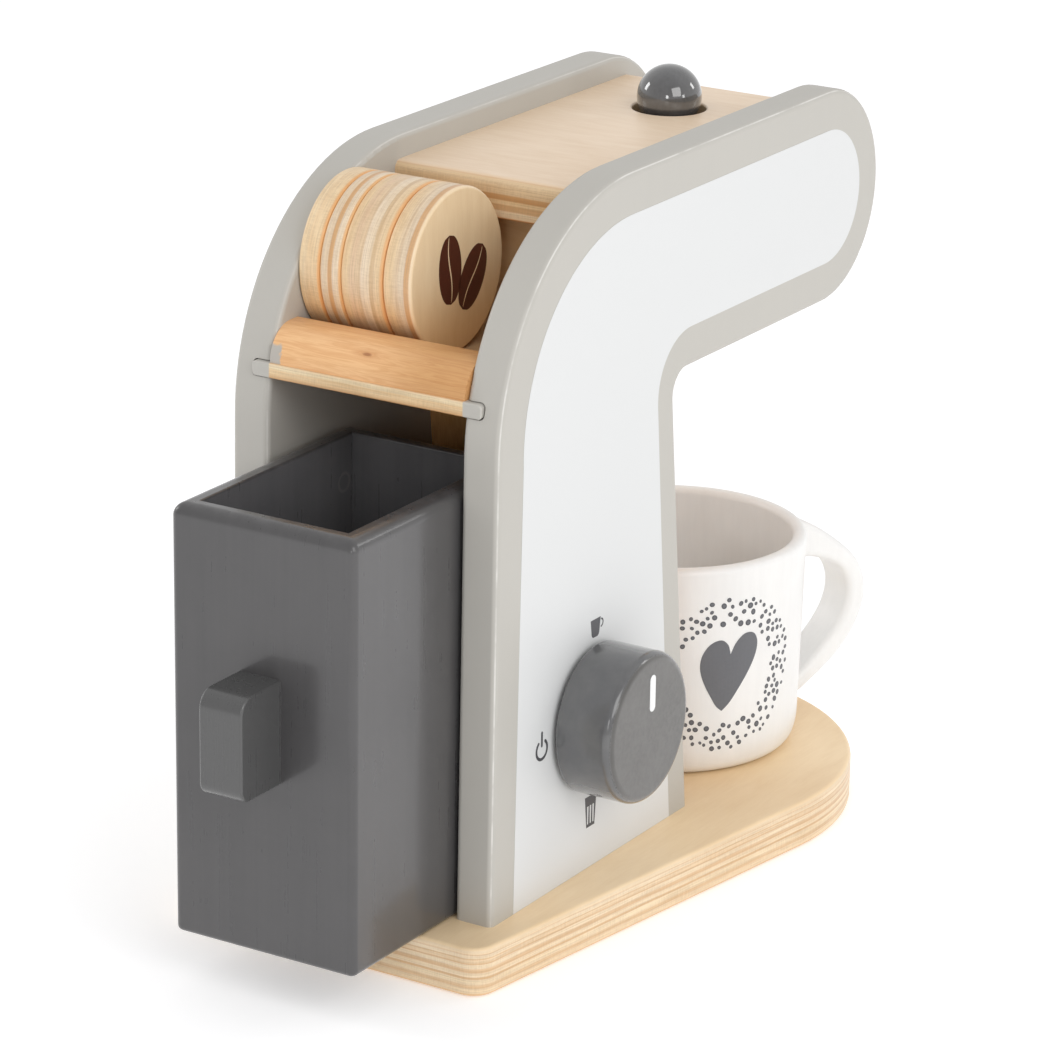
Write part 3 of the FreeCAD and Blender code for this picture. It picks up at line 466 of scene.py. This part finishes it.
# ------------------------------------------------------------------ printed films
def print_mat(name, colour, rough=0.36, var=0.02, dark=None):
    g = G(name)
    a = g.noise(g.stretch(0.06, 0.06, 0.06, (2, 2, 2)), 1.0, 3.0)
    b = g.noise(g.stretch(1.4, 1.4, 1.4), 1.0, 3.0, 0.6)
    lo = tuple(c * (1 - 2 * var) for c in colour[:3]) + (1,)
    hi = tuple(min(1.0, c * (1 + var)) for c in colour[:3]) + (1,)
    col = g.mix(g.rng(g.mt("ADD", g.mt("MULTIPLY", a, 0.6), g.mt("MULTIPLY", b, 0.4)), 0.35, 0.65), lo, hi)
    return g.done(col, g.rng(a, 0.3, 0.7, rough - 0.06, rough + 0.08), g.bump(b, 0.06, 0.00012), spec=0.45)


white_print = print_mat("white_print", C(218, 219, 219), 0.46, 0.004)
ink_print = print_mat("ink_print", C(74, 74, 78), 0.4, 0.06)
bean_print = print_mat("bean_print", C(80, 36, 24), 0.34, 0.10)
mug_print = print_mat("mug_print", C(104, 105, 109), 0.36, 0.04)
mug_print_d = print_mat("mug_print_rim", C(78, 79, 83), 0.36, 0.04)


def clean(poly):
    out = []
    for p in poly:
        if not out or (Vector(p) - Vector(out[-1])).length > 1e-6:
            out.append(p)
    if len(out) > 1 and (Vector(out[0]) - Vector(out[-1])).length < 1e-6:
        out.pop()
    return out


def film(name, loops, place, thick, mat, body, mats=None):
    """A thin closed film. loops is a list of (outer, [holes]) in 2-D millimetres; place(u, v, h) gives the 3-D point h above the surface."""
    verts, faces, fm = [], [], []
    for li, item in enumerate(loops):
        outer, holes = item[0], item[1]
        mi = item[2] if len(item) > 2 else 0
        rings = [clean(outer)] + [clean(h) for h in holes]
        flat = [p for r in rings for p in r]
        tris = tessellate_polygon([[Vector((p[0], p[1], 0)) for p in r] for r in rings])
        b0 = len(verts)
        n = len(flat)
        for p in flat:
            verts.append(place(p[0], p[1], 0.0))
        for p in flat:
            verts.append(place(p[0], p[1], thick))
        for t in tris:
            faces.append((b0 + n + t[0], b0 + n + t[1], b0 + n + t[2])); fm.append(mi)
            faces.append((b0 + t[2], b0 + t[1], b0 + t[0])); fm.append(mi)
        k = 0
        for r in rings:
            m = len(r)
            for i in range(m):
                a, c = b0 + k + i, b0 + k + (i + 1) % m
                faces.append((a, c, c + n, a + n)); fm.append(mi)
            k += m
    me = bpy.data.meshes.new(name)
    me.from_pydata([Vector(v) * MM for v in verts], [], faces)
    me.update()
    bm = bmesh.new()
    bm.from_mesh(me)
    bmesh.ops.recalc_face_normals(bm, faces=bm.faces)
    bm.to_mesh(me)
    bm.free()
    for m in (mats or [mat]):
        me.materials.append(m)
    for i, f in enumerate(me.polygons):
        f.material_index = fm[i]
    o = bpy.data.objects.new(name, me)
    bpy.context.scene.collection.objects.link(o)
    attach(o, body)
    return o


def arc2(cx, cy, r, a0, a1, n=24):
    return [(cx + r * math.cos(math.radians(a0 + (a1 - a0) * i / n)), cy + r * math.sin(math.radians(a0 + (a1 - a0) * i / n))) for i in range(n + 1)]


def fillet(p0, p1, p2, r, n=14):
    """Rounds the corner p1 between p0 and p2."""
    a, b, c = Vector(p0), Vector(p1), Vector(p2)
    u, v = (a - b).normalized(), (c - b).normalized()
    ang = u.angle(v)
    t = r / math.tan(ang / 2)
    m = b + (u + v).normalized() * (r / math.sin(ang / 2))
    s, e = b + u * t, b + v * t
    a0 = math.atan2(s.y - m.y, s.x - m.x)
    a1 = math.atan2(e.y - m.y, e.x - m.x)
    d = (a1 - a0 + math.pi) % (2 * math.pi) - math.pi
    return [(m.x + r * math.cos(a0 + d * i / n), m.y + r * math.sin(a0 + d * i / n)) for i in range(n + 1)]


def on_panel(u, v, h):
    """u is measured from the panels' back plane, v is the height."""
    return (-36.5 - 0.01 - h, YB + u, v)


# the white field on the knob side
outline = [(-9.3, 12.05), (-11.2, 118.0)]
outline += arc2(-57.9, 123.0, 46.7, -3.0, 90.0, 40)
outline += arc2(-152.5, 153.0, 17.0, 90.0, 270.0, 40)
outline += fillet((-152.5, 136.0), (-69.7, 136.0), (-81.2, 12.05), 15.0, 20)
outline += [(-81.2, 12.05)]
film("panel_white_field", [(outline, [])], on_panel, 0.05, white_print, "machine")


def on_print(u, v, h):
    return (-36.5 - 0.06 - h, YB + u, v)


def stroke_ring(cx, cy, r, w, a0, a1, n=36):
    """An open ring with round ends."""
    out = arc2(cx, cy, r + w / 2, a0, a1, n)
    ex, ey = cx + r * math.cos(math.radians(a1)), cy + r * math.sin(math.radians(a1))
    out += arc2(ex, ey, w / 2, a1, a1 + 180, 8)
    out += arc2(cx, cy, r - w / 2, a1, a0, n)
    sx, sy = cx + r * math.cos(math.radians(a0)), cy + r * math.sin(math.radians(a0))
    out += arc2(sx, sy, w / 2, a0 - 180, a0, 8)
    return out


def bar(x0, y0, x1, y1, w):
    a, b = Vector((x0, y0)), Vector((x1, y1))
    d = math.degrees(math.atan2(b.y - a.y, b.x - a.x))
    return arc2(b.x, b.y, w / 2, d - 90, d + 90, 8) + arc2(a.x, a.y, w / 2, d + 90, d + 270, 8)


def rrect(x0, x1, y0, y1, r, n=6):
    return (arc2(x1 - r, y0 + r, r, -90, 0, n) + arc2(x1 - r, y1 - r, r, 0, 90, n) +
            arc2(x0 + r, y1 - r, r, 90, 180, n) + arc2(x0 + r, y0 + r, r, 180, 270, n))


# a power sign, a cup and a slotted basket
film("icon_power", [(stroke_ring(-20.9, 49.4, 2.35, 0.75, 90 + 38, 90 + 322), []), (bar(-20.9, 50.4, -20.9, 53.6, 0.75), [])],
     on_print, 0.03, ink_print, "machine")
cup = [(-42.0, 74.7), (-46.5, 74.7), (-46.1, 71.9)] + arc2(-44.9, 71.3, 1.1, 180, 270, 6) + arc2(-43.6, 71.3, 1.1, 270, 360, 6) + [(-42.4, 71.9)]
cup.reverse()
film("icon_cup", [(cup, []), (stroke_ring(-46.7, 73.1, 0.95, 0.42, 100, 262, 14), [])],
     on_print, 0.03, ink_print, "machine")
bk = [(-40.9, 30.4), (-46.1, 30.4), (-45.4, 22.5), (-41.7, 22.5)]
slots = []
for i in range(3):
    c = -42.3 - 1.22 * i
    slots.append([(c + 0.36, 27.9), (c - 0.36, 27.9), (c - 0.30 * 0.9 - 0.0, 23.3), (c + 0.30 * 0.9, 23.3)])
film("icon_basket", [(bk, slots)], on_print, 0.03, ink_print, "machine")


# pointer on the knob's face
def on_knob(u, v, h):
    return (-52.6 - 0.01 - h, YB + u, v)


film("knob_pointer", [(rrect(-45.25, -42.75, 55.0, 64.1, 1.24, 8), [])], on_knob, 0.05,
     print_mat("pointer_print", C(236, 236, 236), 0.34, 0.01), "knob_body")


# coffee beans on the outer faces of the discs
def bean(cx, cy, L, W, tilt, bow, gap):
    """An oval cut by a curved groove, as two halves."""
    out = []
    n = 30
    for side in (1, -1):
        rim, groove = [], []
        for i in range(n + 1):
            t = -1 + 2 * i / n
            a = math.acos(max(-1, min(1, t)))
            rim.append((side * W * math.sin(a) ** 0.92, L * t))
        for i in range(n + 1):
            t = 1 - 2 * i / n
            g0 = bow * math.sin(t * math.pi * 0.9)
            w = gap * 0.5 * (1 - 0.55 * abs(t) ** 2)
            lim = W * math.sqrt(max(0.0, 1 - t * t)) * 0.97
            x = max(-lim, min(lim, g0 + side * w))
            groove.append((x, L * t * 0.965))
        pts = rim + groove
        c, s = math.cos(math.radians(tilt)), math.sin(math.radians(tilt))
        out.append(([(cx + x * c - y * s, cy + x * s + y * c) for x, y in pts], []))
    return out


for i in range(4):
    fx = DX[i][0]

    def on_disc(u, v, h, fx=fx):
        return (fx - 0.005 - h, YB + u, v)
    film("disc_print_%d" % (i + 1),
         bean(-29.7, 157.7, 8.35, 4.75, -3.0, 0.60, 0.50) + bean(-39.3, 154.0, 8.1, 4.95, 31.0, -0.55, 0.46),
         on_disc, 0.025, bean_print, "disc_%d" % (i + 1))


# the mug's print, wrapped on its wall
MCX, MCY = -6.9, YB - 130.9


def wall_r(z):
    h = z - 12.0
    if h >= 8.0:
        return 33.2 + (h - 8.0) / (53.8 - 8.0) * (34.25 - 33.2)
    return 33.2


A0 = 146.0


def on_mug(u, v, h):
    r = wall_r(v) + 0.012 + h
    a = math.radians(A0) + u / 33.7
    return (MCX + r * math.cos(a), MCY + r * math.sin(a), v)


def heart(cx, cy, w, h, lean):
    """Two round lobes over straight flanks that meet in a point, leaning sideways."""
    right = []
    # the right half from the notch to the point, as points of a smooth line
    ctl = [(0.0, 0.27), (0.06, 0.40), (0.17, 0.49), (0.29, 0.50), (0.40, 0.45), (0.475, 0.34), (0.485, 0.20), (0.44, 0.06), (0.355, -0.09),
           (0.24, -0.25), (0.115, -0.41), (0.0, -0.50)]
    for i in range(len(ctl) - 1):
        p0, p1 = ctl[max(0, i - 1)], ctl[i]
        p2, p3 = ctl[i + 1], ctl[min(len(ctl) - 1, i + 2)]
        for k in range(5):
            t = k / 5.0
            right.append(tuple(0.5 * (2 * b + (c - a) * t + (2 * a - 5 * b + 4 * c - d) * t * t + (3 * b - a - 3 * c + d) * t ** 3)
                               for a, b, c, d in zip(p0, p1, p2, p3)))
    right.append(ctl[-1])
    left = [(-x, y) for x, y in reversed(right)][1:-1]
    return [(cx + x * w + y * h * lean, cy + y * h + x * w * lean) for x, y in right + left]


def clip(poly, ax, v, sgn):
    out = []
    n = len(poly)
    for i in range(n):
        p, q = poly[i], poly[(i + 1) % n]
        dp, dq = (p[ax] - v) * sgn, (q[ax] - v) * sgn
        if dp >= 0:
            out.append(p)
        if (dp > 0 and dq < 0) or (dp < 0 and dq > 0):
            t = dp / (dp - dq)
            out.append((p[0] + (q[0] - p[0]) * t, p[1] + (q[1] - p[1]) * t))
    return out


def wrapped(name, poly, x0, x1, place, thick, mat, body, step=1.1):
    """A closed film cut into columns, welded again, so that it follows a curved wall."""
    k = int(math.ceil((x1 - x0) / step))
    bm = bmesh.new()
    for i in range(k):
        a, b = x0 + (x1 - x0) * i / k, x0 + (x1 - x0) * (i + 1) / k
        q = clean(clip(clip(poly, 0, a, 1), 0, b, -1))
        if len(q) < 3:
            continue
        tr = tessellate_polygon([[Vector((p[0], p[1], 0)) for p in q]])
        vs = [bm.verts.new((p[0], p[1], 0)) for p in q]
        for t in tr:
            try:
                bm.faces.new([vs[j] for j in t])
            except ValueError:
                pass
    bmesh.ops.remove_doubles(bm, verts=bm.verts, dist=1e-4)
    bmesh.ops.recalc_face_normals(bm, faces=bm.faces)
    top = {}
    flat = [(v, v.co.x, v.co.y) for v in bm.verts]
    for v, x, y in flat:
        v.co = Vector(place(x, y, 0.0)) * MM
        top[v] = bm.verts.new(Vector(place(x, y, thick)) * MM)
    old = list(bm.faces)
    edges = [(e.verts[0], e.verts[1], len(e.link_faces)) for e in bm.edges if e.verts[0] in top and e.verts[1] in top]
    for f in old:
        bm.faces.new([top[v] for v in reversed(f.verts)])
    for a, b, n in edges:
        if n == 1:
            bm.faces.new([a, b, top[b], top[a]])
    bmesh.ops.recalc_face_normals(bm, faces=bm.faces)
    me = bpy.data.meshes.new(name)
    bm.to_mesh(me)
    bm.free()
    me.materials.append(mat)
    o = bpy.data.objects.new(name, me)
    bpy.context.scene.collection.objects.link(o)
    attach(o, body)
    return o


hp = heart(-0.1, 39.2, 16.2, 19.4, 0.13)
wrapped("mug_print_heart", hp, -10.2, 10.2, on_mug, 0.03, mug_print, "mug_body")

rnd = random.Random(41)
dots = []
tries = 0
while len(dots) < 168 and tries < 60000:
    tries += 1
    a = rnd.uniform(0, 2 * math.pi)
    rr = 13.5 + 6.6 * rnd.random()
    s = rnd.choice((0.54, 0.60, 0.66, 0.72, 0.80)) * (1.0 if rr < 18.8 else 0.85)
    x, y = rr * math.cos(a) * 1.02, 39.1 + rr * math.sin(a)
    if all(math.hypot(x - q[0], y - q[1]) > s + q[2] + 0.30 for q in dots):
        dots.append((x, y, s, rnd.uniform(0, math.pi), rnd.uniform(0.80, 1.0)))
dl = []
for x, y, s, th, el in dots:
    def ell(k):
        return [(x + k * s * (math.cos(t) * math.cos(th) - el * math.sin(t) * math.sin(th)),
                 y + k * s * (math.cos(t) * math.sin(th) + el * math.sin(t) * math.cos(th))) for t in [2 * math.pi * i / 16 for i in range(16)]]
    e1, e0 = ell(1.0), ell(0.66)
    dl.append((e1, [list(reversed(e0))], 1))
    dl.append((e0, [], 0))
film("mug_print_dots", dl, on_mug, 0.03, None, "mug_body", mats=[mug_print, mug_print_d])

# ------------------------------------------------------------------ floor, lights, camera
fl = bpy.data.meshes.new("floor")
S = 6.0
fl.from_pydata([(-S, -S, -0.0002), (S, -S, -0.0002), (S, S, -0.0002), (-S, S, -0.0002)], [], [(0, 1, 2, 3)])
floor = bpy.data.objects.new("floor", fl)
bpy.context.scene.collection.objects.link(floor)
gf = G("floor_white")
gf.b.inputs["Emission Color"].default_value = (1.0, 1.0, 1.0, 1)
gf.b.inputs["Emission Strength"].default_value = 0.32
fl.materials.append(gf.done(gf.mix(gf.noise(gf.stretch(0.002, 0.002, 0.002), 1.0, 2.0), C(240, 240, 241), C(243, 243, 244)), 0.85, spec=0.0))

w = bpy.data.worlds.new("studio")
bpy.context.scene.world = w
w.use_nodes = True
wt = w.node_tree
bg = wt.nodes["Background"]
tc = wt.nodes.new("ShaderNodeTexCoord")
dot = wt.nodes.new("ShaderNodeVectorMath")
dot.operation = "DOT_PRODUCT"
wt.links.new(tc.outputs["Generated"], dot.inputs[0])
dot.inputs[1].default_value = (-0.15, 0.91, 0.38)
rp = wt.nodes.new("ShaderNodeValToRGB")
rp.color_ramp.elements[0].position, rp.color_ramp.elements[0].color = 0.15, (1.0, 1.0, 1.0, 1)
rp.color_ramp.elements[1].position, rp.color_ramp.elements[1].color = 1.0, (0.74, 0.74, 0.745, 1)
wt.links.new(dot.outputs["Value"], rp.inputs[0])
wt.links.new(rp.outputs[0], bg.inputs[0])
bg.inputs[1].default_value = 0.83


def area(name, loc, target, size, power, size_y=None, colour=(1, 1, 1)):
    d = bpy.data.lights.new(name, "AREA")
    d.shape = "RECTANGLE"
    d.size = size
    d.size_y = size_y or size
    d.energy = power
    d.color = colour
    o = bpy.data.objects.new(name, d)
    bpy.context.scene.collection.objects.link(o)
    o.location = loc
    o.rotation_mode = "QUATERNION"
    o.rotation_quaternion = (Vector(target) - Vector(loc)).to_track_quat("-Z", "Y")
    return o


area("window_right", (-0.72, -0.79, 0.60), (0, 0, 0.08), 0.19, 0.7, 0.28, (1.0, 0.995, 0.985))
area("window_left", (1.03, 0.29, 0.60), (0, 0, 0.08), 0.25, 1.5, 0.38, (0.99, 0.995, 1.0))
area("window_side", (-1.50, 0.16, 0.42), (0, 0, 0.08), 0.21, 0.7, 0.27)
area("window_front", (-0.60, 1.40, 0.46), (0, 0, 0.08), 0.22, 1.2, 0.30)
area("window_high", (-1.12, 0.66, 0.84), (0, 0, 0.10), 0.8, 5.0, 0.8, (1.0, 0.995, 0.985))

bpy.context.scene.view_settings.view_transform = "Standard"
bpy.context.scene.view_settings.look = "None"

cd = bpy.data.cameras.new("camera")
cam = bpy.data.objects.new("camera", cd)
bpy.context.scene.collection.objects.link(cam)
bpy.context.scene.camera = cam
cd.sensor_width = 36.0
cd.sensor_fit = "HORIZONTAL"
cd.lens = 158.87
cd.clip_start, cd.clip_end = 0.05, 40.0
az, el, ro = math.radians(211.63), math.radians(18.87), math.radians(0.81)
back = Vector((math.sin(az) * math.cos(el), -math.cos(az) * math.cos(el), math.sin(el)))
right = (-back).cross(Vector((0, 0, 1))).normalized()
up = right.cross(-back).normalized()
r2 = right * math.cos(ro) + up * math.sin(ro)
u2 = up * math.cos(ro) - right * math.sin(ro)
m = Matrix(((r2.x, u2.x, back.x, -0.55866), (r2.y, u2.y, back.y, 0.91673), (r2.z, u2.z, back.z, 0.44695), (0, 0, 0, 1)))
cam.matrix_world = m
